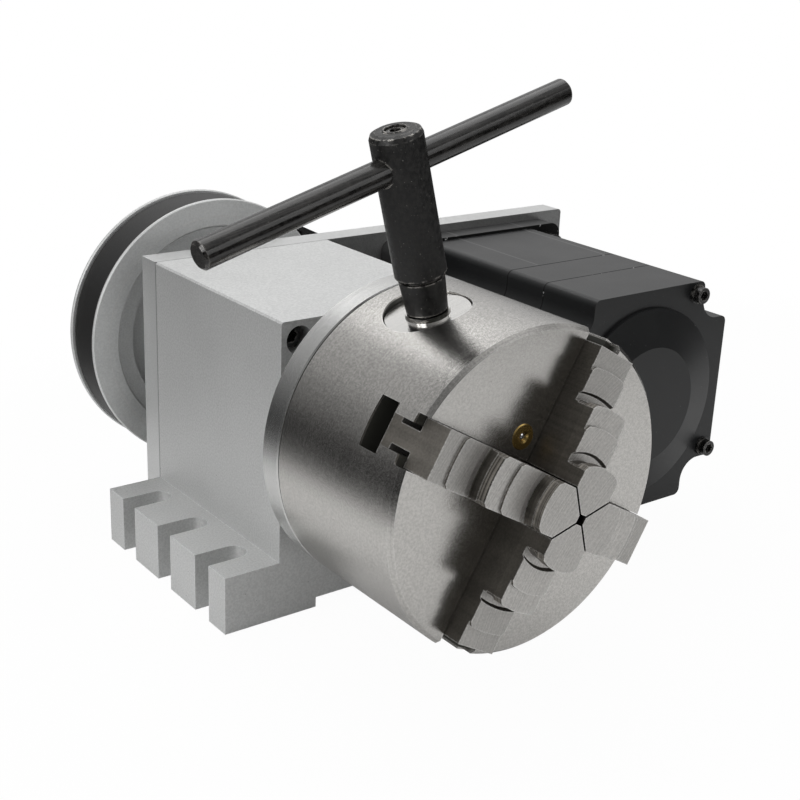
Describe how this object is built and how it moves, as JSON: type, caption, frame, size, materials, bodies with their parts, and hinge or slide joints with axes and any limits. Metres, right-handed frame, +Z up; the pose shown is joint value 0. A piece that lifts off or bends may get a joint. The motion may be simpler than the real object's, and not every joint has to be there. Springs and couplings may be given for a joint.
{
  "type": "cnc rotary axis",
  "caption": "Belt driven rotary axis: slotted headstock with hollow spindle, scroll chuck with stepped jaws and tee key, side motor on a rear plate.",
  "frame": {"origin": "on the bench plane, under the spindle axis, half way along the headstock block", "axes": "+X to the motor side, +Y from the chuck to the pulleys along the spindle, +Z up"},
  "size_m": [0.2447, 0.2249, 0.175],
  "materials": {
    "block_aluminium": "fine blasted",
    "plate_aluminium": "milled",
    "chuck_steel": "turned and ground",
    "jaw_steel": "ground, hardened",
    "spindle_steel": "ground",
    "bearing_steel": "polished",
    "cage_steel": "pressed sheet",
    "pinion_steel": "polished face",
    "black_steel": "black oxide",
    "motor_black": "satin black",
    "motor_flange_black": "satin black",
    "lamination": "stacked sheets",
    "copper_wire": "enamelled",
    "board_green": "solder resist",
    "disc_grey": "gloss",
    "pulley_aluminium": "turned",
    "belt_rubber": "smooth back",
    "seal_rubber": "smooth",
    "oiler_brass": "turned",
    "inlet_metal": "nickel plated"
  },
  "bodies": {
    "housing": {"headstock_housing": "block_aluminium", "rear_motor_plate": "plate_aluminium", "plate_screws": "black_steel", "front_bearing_outer_ring": "bearing_steel", "rear_bearing_outer_ring": "bearing_steel", "front_retaining_ring": "black_steel", "drive_belt": "belt_rubber", "motor_flange": "motor_flange_black", "motor_body": "motor_black", "motor_mid_case": "motor_black", "motor_rear_cap": "motor_black", "motor_cap_screws": "black_steel", "motor_mount_screws": "black_steel", "motor_mount_nuts": "black_steel", "stator_core": "lamination", "stator_coils": "copper_wire", "motor_bearing_outer_rings": "bearing_steel", "motor_bearing_balls": "bearing_steel", "encoder_board": "board_green", "power_inlet": "inlet_metal", "encoder_inlet": "inlet_metal"},
    "spindle": {"spindle_shaft": "spindle_steel", "pulley_key": "spindle_steel", "front_bearing_inner_ring": "bearing_steel", "rear_bearing_inner_ring": "bearing_steel", "bearing_spacer": "spindle_steel", "clamp_sleeve": "spindle_steel", "spindle_lock_nut": "black_steel", "front_seal": "seal_rubber", "chuck_adapter": "chuck_steel", "adapter_screws": "black_steel", "chuck_bolts": "black_steel", "chuck_body": "chuck_steel", "chuck_back_cover": "chuck_steel", "pinion_lock_screw": "black_steel", "oiler_cup": "oiler_brass", "oiler_spring": "spindle_steel", "driven_pulley": "pulley_aluminium", "pulley_rims": "pulley_aluminium", "pulley_retaining_ring": "black_steel"},
    "oiler_ball": {"oiler_ball": "bearing_steel"},
    "bearing_cages": {"bearing_balls": "bearing_steel", "bearing_cages": "cage_steel"},
    "motor_rotor": {"rotor_shaft": "spindle_steel", "rotor_core": "lamination", "encoder_disc": "disc_grey", "motor_bearing_inner_rings": "bearing_steel", "motor_pulley": "pulley_aluminium", "motor_pulley_screws": "black_steel"},
    "scroll": {"scroll_plate": "chuck_steel"},
    "pinion": {"pinion": "pinion_steel"},
    "jaw_1": {"jaw_1": "jaw_steel"},
    "jaw_2": {"jaw_2": "jaw_steel"},
    "jaw_3": {"jaw_3": "jaw_steel"},
    "jaw_4": {"jaw_4": "jaw_steel"},
    "chuck_key": {"chuck_key": "black_steel", "key_bar": "black_steel", "key_grub_screw": "black_steel"}
  },
  "joints": [
    {"name": "spindle_spin", "type": "hinge", "parent": "housing", "child": "spindle", "pos_m": [0, 0, 0.065], "axis": [0, 1, 0], "continuous": true},
    {"name": "cage_spin", "type": "hinge", "parent": "housing", "child": "bearing_cages", "pos_m": [0, 0, 0.065], "axis": [0, 1, 0], "continuous": true},
    {"name": "motor_spin", "type": "hinge", "parent": "housing", "child": "motor_rotor", "pos_m": [0.104, 0, 0.055], "axis": [0, 1, 0], "continuous": true},
    {"name": "scroll_turn", "type": "hinge", "parent": "spindle", "child": "scroll", "pos_m": [0, -0.095, 0.065], "axis": [0, 1, 0], "range_deg": [0, 810]},
    {"name": "pinion_turn", "type": "hinge", "parent": "spindle", "child": "pinion", "pos_m": [-0.01035, -0.082, 0.10364], "axis": [-0.2588, 0, 0.9659], "range_deg": [0, 3240]},
    {"name": "jaw_1_slide", "type": "slide", "parent": "spindle", "child": "jaw_1", "axis": [0.5, 0, 0.866], "range_m": [0, 0.0135]},
    {"name": "jaw_2_slide", "type": "slide", "parent": "spindle", "child": "jaw_2", "axis": [-0.866, 0, 0.5], "range_m": [0, 0.0135]},
    {"name": "jaw_3_slide", "type": "slide", "parent": "spindle", "child": "jaw_3", "axis": [-0.5, 0, -0.866], "range_m": [0, 0.0135]},
    {"name": "jaw_4_slide", "type": "slide", "parent": "spindle", "child": "jaw_4", "axis": [0.866, 0, -0.5], "range_m": [0, 0.0135]},
    {"name": "key_lift", "type": "slide", "parent": "pinion", "child": "chuck_key", "axis": [-0.2588, 0, 0.9659], "range_m": [0, 0.03]},
    {"name": "oiler_ball_press", "type": "slide", "parent": "spindle", "child": "oiler_ball", "axis": [0, 1, 0], "range_m": [0, 0.0008], "stiffness_N_per_m": 200, "springref_m": -0.0005, "deforming": ["oiler_spring"]}
  ],
  "couplings": [
    {"joint": "motor_spin", "follows": "spindle_spin", "ratio": 4},
    {"joint": "cage_spin", "follows": "spindle_spin", "ratio": 0.4186},
    {"joint": "pinion_turn", "follows": "scroll_turn", "ratio": 4},
    {"joint": "jaw_1_slide", "follows": "scroll_turn", "m_per_rad": 0.00095492},
    {"joint": "jaw_2_slide", "follows": "scroll_turn", "m_per_rad": 0.00095492},
    {"joint": "jaw_3_slide", "follows": "scroll_turn", "m_per_rad": 0.00095492},
    {"joint": "jaw_4_slide", "follows": "scroll_turn", "m_per_rad": 0.00095492}
  ]
}
